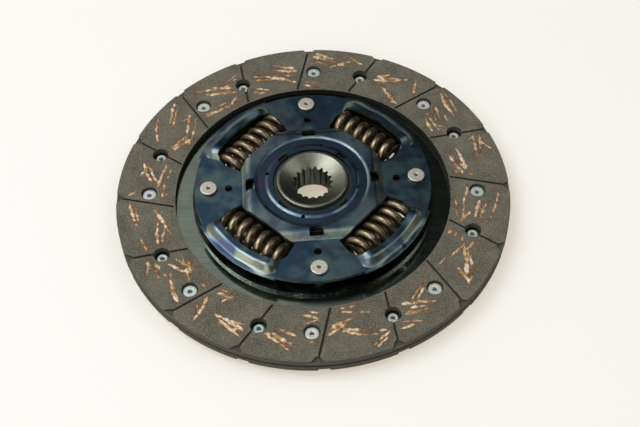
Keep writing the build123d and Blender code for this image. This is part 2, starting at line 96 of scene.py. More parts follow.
# ---- shader building -----------------------------------------------------------------


class Signal:
    """Output of a shader node that can be used in Python arithmetic."""

    def __init__(self, graph: "Graph", socket: Any) -> None:
        """Wrap one output.

        Args:
            graph: the node graph that owns the node.
            socket: the node's output socket.
        """
        self.graph = graph
        self.socket = socket

    def _math(self, operation: str, *values: Any) -> "Signal":
        """Add a Math node and return its output."""
        return self.graph.add("ShaderNodeMath", dict(enumerate(values)), operation=operation)

    def __add__(self, other: Any) -> "Signal":
        """Sum with a number or a signal."""
        return self._math("ADD", self, other)

    def __radd__(self, other: Any) -> "Signal":
        """Sum with a number on the left."""
        return self._math("ADD", other, self)

    def __sub__(self, other: Any) -> "Signal":
        """Difference from a number or a signal."""
        return self._math("SUBTRACT", self, other)

    def __rsub__(self, other: Any) -> "Signal":
        """Difference with a number on the left."""
        return self._math("SUBTRACT", other, self)

    def __mul__(self, other: Any) -> "Signal":
        """Product with a number or a signal."""
        return self._math("MULTIPLY", self, other)

    def __rmul__(self, other: Any) -> "Signal":
        """Product with a number on the left."""
        return self._math("MULTIPLY", other, self)

    def __truediv__(self, other: Any) -> "Signal":
        """Quotient by a number or a signal."""
        return self._math("DIVIDE", self, other)

    def __rtruediv__(self, other: Any) -> "Signal":
        """Quotient with a number on the left."""
        return self._math("DIVIDE", other, self)

    def absolute(self) -> "Signal":
        """Size of the signal without its sign."""
        return self._math("ABSOLUTE", self)

    def sine(self) -> "Signal":
        """Sine of the signal, in radians."""
        return self._math("SINE", self)

    def lesser(self, other: "Signal") -> "Signal":
        """The smaller of two signals."""
        return self._math("MINIMUM", self, other)

    def fade(self, start: float, end: float) -> "Signal":
        """Rise smoothly from 0 to 1 between two values.

        Args:
            start: the value that gives 0.
            end: the value that gives 1, which may be the smaller one.

        Returns:
            The faded signal, held between 0 and 1.
        """
        return self.graph.add(
            "ShaderNodeMapRange",
            {"Value": self, "From Min": start, "From Max": end},
            interpolation_type="SMOOTHSTEP",
        )


class Graph:
    """Node graph of a material or of the world."""

    def __init__(self, tree: Any) -> None:
        """Wrap a node tree."""
        self.tree = tree

    def add(
        self,
        kind: str,
        inputs: Mapping[Any, Any],
        output: Any = 0,
        stops: Sequence[tuple[float, Colour]] = (),
        **settings: Any,
    ) -> Signal:
        """Add any node.

        Args:
            kind: the node's type.
            inputs: values or signals by input name or number.
            output: the name or number of the output to return.
            stops: positions and colours of a colour ramp.
            **settings: the node's own properties, which are set first.

        Returns:
            The chosen output.
        """
        node = self.tree.nodes.new(kind)
        for name, value in settings.items():
            setattr(node, name, value)
        if stops:
            ramp = node.color_ramp
            while len(ramp.elements) < len(stops):
                ramp.elements.new(1.0)
            for element, (position, colour) in zip(ramp.elements, stops):
                element.position = position
                element.color = (*colour, 1.0)
        for name, value in inputs.items():
            self.feed(node.inputs[name], value)
        return Signal(self, node.outputs[output])

    def feed(self, socket: Any, value: Any) -> None:
        """Link a signal to a socket, or set the socket's own value."""
        if isinstance(value, Signal):
            self.tree.links.new(value.socket, socket)
        elif isinstance(value, tuple) and len(value) == 3 and socket.type == "RGBA":
            socket.default_value = (*value, 1.0)
        else:
            socket.default_value = value

    def mix(self, share: Any, first: Any, second: Any) -> Signal:
        """Blend two colours; a share of 1 gives the second."""
        return self.add(
            "ShaderNodeMix", {0: share, 6: first, 7: second}, output=2, data_type="RGBA"
        )


class MaterialGraph(Graph):
    """Node graph of one material, with a Principled shader at its end."""

    def __init__(self, name: str) -> None:
        """Start an empty material.

        Args:
            name: the material's name.
        """
        self.material = bpy.data.materials.new(name)
        self.material.use_nodes = True
        super().__init__(self.material.node_tree)
        self.shader = self.tree.nodes["Principled BSDF"]
        self.place = self.add("ShaderNodeTexCoord", {}, output="Object")

    def noise(self, size: float, detail: float, vector: Signal | None = None) -> Signal:
        """Fractal noise between about 0.25 and 0.75.

        Args:
            size: rough size of one patch, in metres.
            detail: number of finer octaves.
            vector: where to read it, or the surface's own place.

        Returns:
            The noise value.
        """
        inputs = {"Vector": vector or self.place, "Scale": 1 / size, "Detail": detail}
        return self.add("ShaderNodeTexNoise", inputs)

    def axis(self, name: str, vector: Signal | None = None) -> Signal:
        """One coordinate of the surface's place, or of another vector."""
        return self.add("ShaderNodeSeparateXYZ", {0: vector or self.place}, output=name)

    def radius(self) -> Signal:
        """Distance from the disc's axis."""
        flat = self.add(
            "ShaderNodeVectorMath", {0: self.place, 1: (1.0, 1.0, 0.0)}, operation="MULTIPLY"
        )
        return self.add("ShaderNodeVectorMath", {0: flat}, output="Value", operation="LENGTH")

    def upright(self) -> Signal:
        """Z of the surface's normal: 1 on a face that looks along +Z."""
        normal = self.add("ShaderNodeNewGeometry", {}, output="Normal")
        return self.axis("Z", normal)

    def stretched(self, scale: tuple[float, float, float], turn: float = 0.0) -> Signal:
        """Surface place, scaled along each axis after a turn about Z, in degrees."""
        inputs = {"Vector": self.place, "Rotation": (0.0, 0.0, radians(turn)), "Scale": scale}
        return self.add("ShaderNodeMapping", inputs)

    def turned(self, turn: float) -> Signal:
        """Surface place after a turn about Z, in degrees."""
        return self.stretched((1.0, 1.0, 1.0), turn)

    def bump(self, height: Signal, depth: float, strength: float) -> Signal:
        """Bump normal from a height between 0 and 1.

        Args:
            height: the relief.
            depth: what a height of 1 stands for, in metres.
            strength: share of the full effect.

        Returns:
            The bumped normal.
        """
        inputs = {"Height": height, "Distance": depth, "Strength": strength}
        return self.add("ShaderNodeBump", inputs, output="Normal")

    def finish(self, **values: Any) -> Any:
        """Feed the Principled shader and return the material.

        Args:
            **values: values or signals by socket name, with _ for a space.

        Returns:
            The finished material.
        """
        for name, value in values.items():
            socket = self.shader.inputs[name.replace("_", " ").title()]
            self.feed(socket, value)
        return self.material


# ---- finishes ------------------------------------------------------------------------


@dataclass(frozen=True)
class Skin:
    """Fine grain of a finish, which shows in its gloss and in its relief."""

    roughness: float
    spread: float
    depth: float
    strength: float
    metallic: float = 0.0

    def close(
        self,
        g: MaterialGraph,
        colour: Signal,
        grain: Signal,
        blur: Signal | None = None,
        relief: Signal | None = None,
    ) -> Any:
        """Feed colour, gloss and relief to the shader.

        Args:
            g: the material's graph.
            colour: the finished base colour.
            grain: the noise that gloss and relief follow.
            blur: roughness to add to the grain's own.
            relief: heights to use in place of the grain.

        Returns:
            The finished material.
        """
        gloss = self.roughness + grain * self.spread
        return g.finish(
            base_color=colour,
            metallic=self.metallic,
            roughness=gloss + blur if blur else gloss,
            normal=g.bump(relief or grain, self.depth, self.strength),
        )


@dataclass(frozen=True)
class Flecks:
    """Small patches of another colour, scattered by a noise of their own."""

    colour: Colour
    noise: Noise
    band: Band
    share: float
    turn: float

    def over(self, g: MaterialGraph, colour: Signal) -> Signal:
        """Lay the flecks over a colour."""
        spots = g.noise(*self.noise, g.turned(self.turn)).fade(*self.band)
        return g.mix(spots * self.share, colour, self.colour)


@dataclass(frozen=True)
class FrictionLining:
    """Ground friction compound: warm grey, speckled, darker at its outer edge, with painted shade
    in its grooves and on its inner wall.
    """

    dark: Colour = (0.054, 0.05, 0.036)
    light: Colour = (0.17, 0.156, 0.116)
    # painted shade for the floors and walls of the grooves
    groove: Colour = (0.07, 0.062, 0.05)
    rim: Colour = (0.07, 0.065, 0.049)
    # painted shade on the inner wall, near black
    inner_wall_shade: Colour = (0.012, 0.011, 0.009)
    pale_grain: Flecks = Flecks((0.38, 0.36, 0.3), (0.6 * MM, 1.0), (0.58, 0.74), 0.6, 31)
    brown_grain: Flecks = Flecks((0.16, 0.085, 0.045), (1.15 * MM, 1.0), (0.64, 0.7), 0.6, 67)
    grain: Noise = (0.5 * MM, 3.0)
    grain_band: Band = (0.36, 0.64)
    cloud: Noise = (9 * MM, 3.0)
    cloud_band: Band = (0.3, 0.7)
    cloud_share: float = 0.32
    groove_depth: Band = (0.15 * MM, 0.7 * MM)
    wall_slope: Band = (0.9, 0.4)
    rim_radius: Band = (99.5 * MM, 99.8 * MM)
    bore_radius: Band = (70.25 * MM, 70.1 * MM)
    skin: Skin = Skin(0.82, 0.14, depth=0.12 * MM, strength=0.55)

    def build(self, name: str, face_height: float) -> Any:
        """Make the material for one facing.

        Args:
            name: the material's name.
            face_height: the friction face's height; a negative one looks down.

        Returns:
            The material.
        """
        g = MaterialGraph(name)
        side = 1.0 if face_height > 0 else -1.0
        grain = g.noise(*self.grain)
        cloud = g.noise(*self.cloud).fade(*self.cloud_band)
        tone = grain.fade(*self.grain_band) * (1 - self.cloud_share) + cloud * self.cloud_share
        colour = g.mix(tone, self.dark, self.light)
        colour = self.brown_grain.over(g, self.pale_grain.over(g, colour))
        sunk = (abs(face_height) - g.axis("Z") * side).fade(*self.groove_depth)
        wall = (g.upright() * side).fade(*self.wall_slope)
        at_rim = g.radius().fade(*self.rim_radius)
        at_bore = g.radius().fade(*self.bore_radius)
        # painted shade: the colour darkens down into the grooves
        colour = g.mix(sunk * (1 - at_rim), colour, self.groove)
        colour = g.mix(at_rim * wall, colour, self.rim)
        # painted shade: the inner wall turns near black
        colour = g.mix(at_bore * wall, colour, self.inner_wall_shade)
        return self.skin.close(g, colour, grain)


@dataclass(frozen=True)
class CopperYarn:
    """Brass and copper wire of the yarn, cut and polished by the grinding of the face, with a
    painted highlight that lifts each sliver towards peach at its crest.
    """

    brown: Colour = (0.16, 0.08, 0.034)
    copper: Colour = (0.44, 0.25, 0.11)
    gold: Colour = (0.76, 0.53, 0.29)
    # colour of the painted highlight where a sliver stands highest
    peach_highlight: Colour = (1.0, 0.9, 0.78)
    copper_tone: float = 0.34
    gold_tone: float = 0.66
    patch: Noise = (2.6 * MM, 3.0)
    patch_band: Band = (0.34, 0.7)
    patch_weight: float = 0.8
    height_band: Band = (0.012 * MM, 0.075 * MM)
    height_weight: float = 0.6
    tone_drop: float = 0.36
    fibre: Noise = (0.22 * MM, 2.0)
    fibre_band: Band = (0.4, 0.52)
    fibre_share: float = 0.6
    skin: Skin = Skin(0.34, 0.3, depth=0.08 * MM, strength=0.6, metallic=0.35)

    def build(self, name: str, face_height: float) -> Any:
        """Make the material for the yarn of both faces.

        Args:
            name: the material's name.
            face_height: distance of the friction faces from the middle of the disc.

        Returns:
            The material.
        """
        g = MaterialGraph(name)
        patch = g.noise(*self.patch).fade(*self.patch_band)
        # painted highlight: the tone lifts towards peach where a sliver stands highest above the
        # face
        height = (g.axis("Z").absolute() - face_height).fade(*self.height_band)
        colour = g.add(
            "ShaderNodeValToRGB",
            {0: height * self.height_weight + patch * self.patch_weight - self.tone_drop},
            output="Color",
            stops=(
                (0.0, self.brown),
                (self.copper_tone, self.copper),
                (self.gold_tone, self.gold),
                (1.0, self.peach_highlight),
            ),
        )
        fibre = g.noise(*self.fibre)
        bright = fibre.fade(*self.fibre_band) * self.fibre_share + (1 - self.fibre_share)
        return self.skin.close(g, g.mix(bright, self.brown, colour), fibre)


@dataclass(frozen=True)
class TemperedSteel:
    """Sheet blued by heat: navy round the hub, teal towards the rim, violet in fields.

    A painted highlight in steel grey lies on the crown and on its shoulder beside the windows, and
    faces that slope take a straw tint in patches.
    """

    navy: Colour = (0.062, 0.125, 0.19)
    teal: Colour = (0.165, 0.285, 0.3)
    # steel grey of the painted highlight on the crown and its shoulder
    steel: Colour = (0.4, 0.52, 0.54)
    violet: Colour = (0.13, 0.11, 0.21)
    straw: Colour = (0.44, 0.45, 0.31)
    wide: Noise = (20 * MM, 4.0)
    teal_band: Band = (0.44, 0.64)
    teal_on_crown: float = 0.2
    tint: Noise = (12 * MM, 4.0)
    tint_turn: float = 50.0
    violet_band: Band = (0.5, 0.66)
    violet_share: float = 0.65
    straw_band: Band = (0.62, 0.4)
    straw_share: float = 0.6
    bend_slope: Band = (0.998, 0.93)
    bend_roughness: float = 0.12
    smudge: Noise = (5 * MM, 4.0)
    smudge_reach: float = 3 * MM
    smudge_roughness: float = 0.17
    bead_radius: Band = (27.5 * MM, 30 * MM)
    crown_radius: Band = (32 * MM, 38 * MM)
    shoulder_radius: Band = (39 * MM, 34 * MM)
    window_turn: float = -2.3
    window_band: Band = (0.28, 0.5)
    crown_highlight: float = 0.08
    shoulder_highlight_share: float = 0.56
    fine: Noise = (0.5 * MM, 2.0)
    skin: Skin = Skin(0.19, 0.05, depth=0.02 * MM, strength=0.35, metallic=1.0)

    def beside_window(self, g: MaterialGraph) -> Signal:
        """Rise from 0 on the lines through the pins to 1 on those through the windows."""
        place = g.turned(self.window_turn)
        product = g.axis("X", place) * g.axis("Y", place)
        share = product / (g.radius() * g.radius())
        return share.absolute().fade(*self.window_band)

    def build(self, name: str) -> Any:
        """Make the material."""
        g = MaterialGraph(name)
        wide = g.noise(*self.wide)
        tint = g.noise(*self.tint, g.turned(self.tint_turn))
        smudge = g.noise(*self.smudge)
        fine = g.noise(*self.fine)
        radius = g.radius() + (smudge - 0.5) * self.smudge_reach
        past_bead = radius.fade(*self.bead_radius)
        past_crown = radius.fade(*self.crown_radius)
        on_shoulder = past_bead * radius.fade(*self.shoulder_radius)
        reach = past_crown * (1 - self.teal_on_crown) + past_bead * self.teal_on_crown
        colour = g.mix(wide.fade(*self.teal_band) * reach, self.navy, self.teal)
        # painted highlight in steel grey on the shoulder beside the windows and on the crown
        grey = on_shoulder * self.beside_window(g) + past_bead * (1 - past_crown) * self.crown_highlight
        colour = g.mix(grey * self.shoulder_highlight_share, colour, self.steel)
        colour = g.mix(tint.fade(*self.violet_band) * self.violet_share, colour, self.violet)
        bend = g.upright().fade(*self.bend_slope)
        straw = bend * tint.fade(*self.straw_band) * self.straw_share
        blur = smudge * self.smudge_roughness + bend * self.bend_roughness
        return self.skin.close(g, g.mix(straw, colour, self.straw), fine, blur=blur)


@dataclass(frozen=True)
class SpringSteel:
    """Cold-rolled sheet, dark and glossy, with fine rolling lines across it."""

    dark: Colour = (0.27, 0.31, 0.265)
    light: Colour = (0.42, 0.5, 0.42)
    spot: Colour = (0.05, 0.05, 0.04)
    line_turn: float = -38.0
    line_scale: tuple[float, float, float] = (40.0, 1500.0, 400.0)
    line: Noise = (1.0, 3.0)
    cloud: Noise = (14 * MM, 3.0)
    cloud_share: float = 0.4
    tone_band: Band = (0.3, 0.7)
    spots: Noise = (0.9 * MM, 1.0)
    spot_band: Band = (0.73, 0.78)
    spot_share: float = 0.8
    spot_roughness: float = 0.3
    skin: Skin = Skin(0.11, 0.07, depth=0.01 * MM, strength=0.3, metallic=1.0)

    def build(self, name: str) -> Any:
        """Make the material."""
        g = MaterialGraph(name)
        lines = g.noise(*self.line, g.stretched(self.line_scale, self.line_turn))
        cloud = g.noise(*self.cloud).fade(*self.tone_band)
        spots = g.noise(*self.spots).fade(*self.spot_band)
        tone = cloud * self.cloud_share + lines.fade(*self.tone_band) * (1 - self.cloud_share)
        colour = g.mix(tone, self.dark, self.light)
        colour = g.mix(spots * self.spot_share, colour, self.spot)
        return self.skin.close(g, colour, lines, blur=spots * self.spot_roughness)


@dataclass(frozen=True)
class ShadedDiscSteel:
    """Drive plate, nearly black and glossy: painted shade of the gap under the retaining plate,
    with painted highlights in patches along its edges.
    """

    dark: Colour = (0.03, 0.036, 0.034)
    light: Colour = (0.085, 0.1, 0.095)
    edge_highlight: Colour = (0.5, 0.5, 0.42)
    cloud: Noise = (7 * MM, 4.0)
    cloud_band: Band = (0.35, 0.65)
    edge_glint: Noise = (1.1 * MM, 3.0)
    edge_glint_band: Band = (0.55, 0.68)
    edge_glint_slope: Band = (0.5, 0.2)
    edge_glint_share: float = 0.7
    skin: Skin = Skin(0.2, 0.2, depth=0.02 * MM, strength=0.3, metallic=1.0)

    def build(self, name: str) -> Any:
        """Make the material."""
        g = MaterialGraph(name)
        cloud = g.noise(*self.cloud)
        # nearly black all over: painted shade of the gap under the retaining plate
        colour = g.mix(cloud.fade(*self.cloud_band), self.dark, self.light)
        # painted highlights: bright patches on the side faces stand in for edge glints
        on_edge = g.upright().absolute().fade(*self.edge_glint_slope)
        edge_glint = g.noise(*self.edge_glint).fade(*self.edge_glint_band) * on_edge
        colour = g.mix(edge_glint * self.edge_glint_share, colour, self.edge_highlight)
        return self.skin.close(g, colour, cloud)


@dataclass(frozen=True)
class PlatedSteel:
    """Zinc plating that shifts in tint from one fastener to the next."""

    base: Colour = (0.8, 0.82, 0.77)
    tint: Colour = (0.6, 0.83, 0.76)
    second_tint: Colour = (0.76, 0.76, 0.88)
    worn: Colour = (0.25, 0.26, 0.25)
    wide: Noise = (38 * MM, 1.0)
    tint_band: Band = (0.5, 0.36)
    second_band: Band = (0.52, 0.66)
    grain: Noise = (0.6 * MM, 2.0)
    worn_band: Band = (0.35, 0.7)
    worn_share: float = 0.35
    skin: Skin = Skin(0.36, 0.2, depth=0.03 * MM, strength=0.4, metallic=0.5)

    def build(self, name: str) -> Any:
        """Make the material."""
        g = MaterialGraph(name)
        wide = g.noise(*self.wide)
        grain = g.noise(*self.grain)
        colour = g.mix(wide.fade(*self.tint_band), self.base, self.tint)
        colour = g.mix(wide.fade(*self.second_band), colour, self.second_tint)
        colour = g.mix(grain.fade(*self.worn_band) * self.worn_share, colour, self.worn)
        return self.skin.close(g, colour, grain)


@dataclass(frozen=True)
class CoilSteel:
    """Shot-peened spring wire with a bronze heat tint and oil in its pores."""

    brown: Colour = (0.2, 0.15, 0.085)
    bronze: Colour = (0.44, 0.37, 0.25)
    dark: Colour = (0.05, 0.04, 0.028)
    tint: Noise = (4 * MM, 3.0)
    tint_band: Band = (0.34, 0.68)
    pits: Noise = (0.35 * MM, 2.0)
    pit_band: Band = (0.58, 0.7)
    pit_share: float = 0.55
    skin: Skin = Skin(0.3, 0.16, depth=0.04 * MM, strength=0.4, metallic=1.0)

    def build(self, name: str) -> Any:
        """Make the material."""
        g = MaterialGraph(name)
        tint = g.noise(*self.tint).fade(*self.tint_band)
        pits = g.noise(*self.pits)
        colour = g.mix(tint, self.brown, self.bronze)
        colour = g.mix(pits.fade(*self.pit_band) * self.pit_share, colour, self.dark)
        return self.skin.close(g, colour, pits)


@dataclass(frozen=True)
class ForgedSteel:
    """Turned hub steel: grey green, satin, with turning rings and sparkle.

    All that lies beyond the boss, such as the flange and the thrust washer, is near black: painted
    shade between the plates.
    """

    dark: Colour = (0.2, 0.21, 0.165)
    light: Colour = (0.27, 0.275, 0.225)
    # painted shade for all that lies between the plates
    flange_shade: Colour = (0.03, 0.03, 0.025)
    sparkle: Flecks = Flecks((0.62, 0.63, 0.55), (0.45 * MM, 1.0), (0.7, 0.76), 0.6, 20)
    grain: Noise = (0.3 * MM, 2.0)
    cloud: Noise = (5 * MM, 3.0)
    cloud_band: Band = (0.32, 0.68)
    cloud_share: float = 0.65
    flange_shade_radius: Band = (18.6 * MM, 19.2 * MM)
    flange_shade_share: float = 0.85
    ring_pitch: float = 0.32 * MM
    ring_share: float = 0.3
    skin: Skin = Skin(0.3, 0.16, depth=0.02 * MM, strength=0.5, metallic=1.0)

    def build(self, name: str) -> Any:
        """Make the material."""
        g = MaterialGraph(name)
        rings = (g.radius() * (2 * pi / self.ring_pitch)).sine() * 0.5 + 0.5
        grain = g.noise(*self.grain)
        cloud = g.noise(*self.cloud).fade(*self.cloud_band)
        tone = cloud * self.cloud_share + grain * (1 - self.cloud_share)
        colour = self.sparkle.over(g, g.mix(tone, self.dark, self.light))
        # painted shade: near black beyond the boss, between the plates
        oil = g.radius().fade(*self.flange_shade_radius) * self.flange_shade_share
        relief = rings * self.ring_share + grain * (1 - self.ring_share)
        return self.skin.close(g, g.mix(oil, colour, self.flange_shade), grain, relief=relief)


@dataclass(frozen=True)
class BrightPin:
    """Bright rivet steel with the press marks of its riveting, shaded below its end faces."""

    dark: Colour = (0.56, 0.535, 0.44)
    light: Colour = (0.88, 0.86, 0.74)
    shaded: Colour = (0.1, 0.085, 0.065)
    front_end: float = 12.65 * MM
    rear_end: float = -2.0 * MM
    shade_depth: Band = (0.15 * MM, 0.5 * MM)
    shade_share: float = 0.9
    grain: Noise = (0.5 * MM, 3.0)
    grain_band: Band = (0.35, 0.65)
    grain_share: float = 0.5
    cloud: Noise = (3 * MM, 2.0)
    skin: Skin = Skin(0.38, 0.2, depth=0.04 * MM, strength=0.5, metallic=0.8)

    def build(self, name: str) -> Any:
        """Make the material."""
        g = MaterialGraph(name)
        grain = g.noise(*self.grain)
        cloud = g.noise(*self.cloud)
        marks = grain.fade(*self.grain_band) * self.grain_share
        colour = g.mix(cloud * (1 - self.grain_share) + marks, self.dark, self.light)
        height = g.axis("Z")
        depth = (self.front_end - height).lesser(height - self.rear_end)
        shade = depth.fade(*self.shade_depth) * self.shade_share
        return self.skin.close(g, g.mix(shade, colour, self.shaded), grain)


@dataclass(frozen=True)
class MouldedResin:
    """Black moulded resin with a fine matt skin."""

    dark: Colour = (0.018, 0.018, 0.016)
    light: Colour = (0.06, 0.058, 0.052)
    grain: Noise = (0.4 * MM, 3.0)
    grain_band: Band = (0.3, 0.7)
    skin: Skin = Skin(0.55, 0.2, depth=0.05 * MM, strength=0.4)

    def build(self, name: str) -> Any:
        """Make the material."""
        g = MaterialGraph(name)
        grain = g.noise(*self.grain)
        colour = g.mix(grain.fade(*self.grain_band), self.dark, self.light)
        return self.skin.close(g, colour, grain)


# ---- modelling -----------------------------------------------------------------------


def select_only(*objects: Any) -> None:
    """Deselect everything, then select these objects and make the first one active."""
    if bpy.context.object and bpy.context.object.mode != "OBJECT":
        bpy.ops.object.mode_set(mode="OBJECT")
    bpy.ops.object.select_all(action="DESELECT")
    for piece in objects:
        piece.select_set(True)
    if objects:
        bpy.context.view_layer.objects.active = objects[0]


def lathe(name: str, profile: Sequence[Point], steps: int) -> Any:
    """Turn a closed profile about Z, by extruding one vertex along it and spinning the line.

    Args:
        name: the new object's name.
        profile: radius and height of each corner, in order.
        steps: number of segments round the axis.

    Returns:
        The turned object, with its axis on the origin.
    """
    select_only()
    bpy.ops.mesh.primitive_plane_add(size=MM)
    piece = bpy.context.object
    piece.name = name
    bpy.ops.object.mode_set(mode="EDIT")
    bpy.ops.mesh.merge(type="CENTER")
    start = Vector((profile[0][0], 0.0, profile[0][1]))
    bpy.ops.transform.translate(value=start)
    for (from_r, from_z), (to_r, to_z) in zip(profile, (*profile[1:], profile[0])):
        step = (to_r - from_r, 0.0, to_z - from_z)
        bpy.ops.mesh.extrude_region_move(TRANSFORM_OT_translate={"value": step})
    bpy.ops.mesh.select_all(action="SELECT")
    bpy.ops.mesh.remove_doubles(threshold=WELD)
    bpy.ops.mesh.spin(steps=steps, angle=2 * pi, center=(0, 0, 0), axis=(0, 0, 1))
    bpy.ops.mesh.select_all(action="SELECT")
    bpy.ops.mesh.remove_doubles(threshold=WELD)
    bpy.ops.mesh.normals_make_consistent(inside=False)
    bpy.ops.object.mode_set(mode="OBJECT")
    return piece


def rounded(corners: Sequence[tuple[float, float, float]], arc_steps: int = 4) -> list[Point]:
    """Closed profile with round corners.

    Args:
        corners: radius, height and rounding of each corner, in order.
        arc_steps: segments in each rounding.

    Returns:
        The points of the profile.
    """
    points: list[Point] = []
    count = len(corners)
    for index, (r, z, rounding) in enumerate(corners):
        if rounding <= 0:
            points.append((r, z))
            continue
        here = Vector((r, z))
        before = (Vector(corners[index - 1][:2]) - here).normalized()
        after = (Vector(corners[(index + 1) % count][:2]) - here).normalized()
        half = before.angle(after) / 2
        reach = rounding / sin(half) * cos(half)
        centre = here + (before + after).normalized() * (rounding / sin(half))
        start, end = here + before * reach - centre, here + after * reach - centre
        for step in range(arc_steps + 1):
            spoke = start.slerp(end, step / arc_steps, start)
            points.append(tuple(centre + spoke.normalized() * rounding))
    return points


def own_copy(piece: Any, name: str) -> Any:
    """Copy a piece with a mesh of its own."""
    copy = piece.copy()
    copy.data = piece.data.copy()
    copy.name = name
    bpy.context.scene.collection.objects.link(copy)
    return copy


def copies_of(model: Any, places: Iterable[Matrix], name: str) -> Any:
    """Join one copy of a model at each place into a single object at the origin.

    Args:
        model: the object to copy, which is removed.
        places: where each copy stands.
        name: the joined object's name.

    Returns:
        The joined object.
    """
    made = []
    for place in places:
        copy = own_copy(model, name)
        copy.data.transform(place)
        made.append(copy)
    bpy.data.objects.remove(model)
    select_only(*made)
    bpy.ops.object.join()
    joined = bpy.context.object
    joined.name = name
    joined.data.name = name
    return joined


def smooth(piece: Any, crease: float) -> None:
    """Shade a piece smoothly, apart from edges sharper than the crease in degrees."""
    select_only(piece)
    bpy.ops.object.shade_smooth_by_angle(angle=radians(crease))


def dress(piece: Any, material: Any) -> None:
    """Give a piece one material."""
    piece.data.materials.clear()
    piece.data.materials.append(material)


def settle(piece: Any, body: Body, slot: Slot, material: Any, *nodes: str) -> None:
    """Dress a new piece, let it ride on its body and stand for the nodes that it replaces."""
    dress(piece, material)
    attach(piece, body.value)
    if nodes:
        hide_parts(*nodes)
    log.info("%s rides on %s", piece.name, body.value)


def moved(x: float, y: float, heading: float, along: float, aside: float) -> Point:
    """Point that lies along a heading from another one, and aside to the heading's left."""
    return (
        x + along * cos(heading) - aside * sin(heading),
        y + along * sin(heading) + aside * cos(heading),
    )


# ---- sub-assemblies ------------------------------------------------------------------


@dataclass(frozen=True)
class RivetPattern:
    """Where the facing rivets stand: a row of front ones, and between them the rear ones.

    Turning the disc over about the line midway between the two rows swaps them.
    """

    circle_radius: float = 83.55 * MM
    count: int = 8
    front_angle: float = 88.4
    rear_angle: float = 70.8

    def turns(self, first_angle: float) -> list[float]:
        """Angle in radians of each rivet in the row that starts at an angle in degrees."""
        return [radians(first_angle + number * 360 / self.count) for number in range(self.count)]

    def centres(self) -> list[Point]:
        """Middle of each rivet, front and rear."""
        turns = self.turns(self.front_angle) + self.turns(self.rear_angle)
        return [(self.circle_radius * cos(turn), self.circle_radius * sin(turn)) for turn in turns]

    def places(self) -> list[Matrix]:
        """Place of each front rivet, with local X pointing outwards."""
        out = Matrix.Translation((self.circle_radius, 0.0, 0.0))
        return [Matrix.Rotation(turn, 4, "Z") @ out for turn in self.turns(self.front_angle)]

    def turned_over(self, piece: Any, name: str) -> Any:
        """Copy a piece of the front onto the rear.

        Args:
            piece: the piece on the front.
            name: the copy's name.

        Returns:
            The copy, with a mesh of its own.
        """
        copy = own_copy(piece, name)
        middle = radians((self.front_angle + self.rear_angle) / 2)
        axis = Vector((cos(middle), sin(middle), 0))
        copy.data.transform(Matrix.Rotation(pi, 4, axis))
        return copy


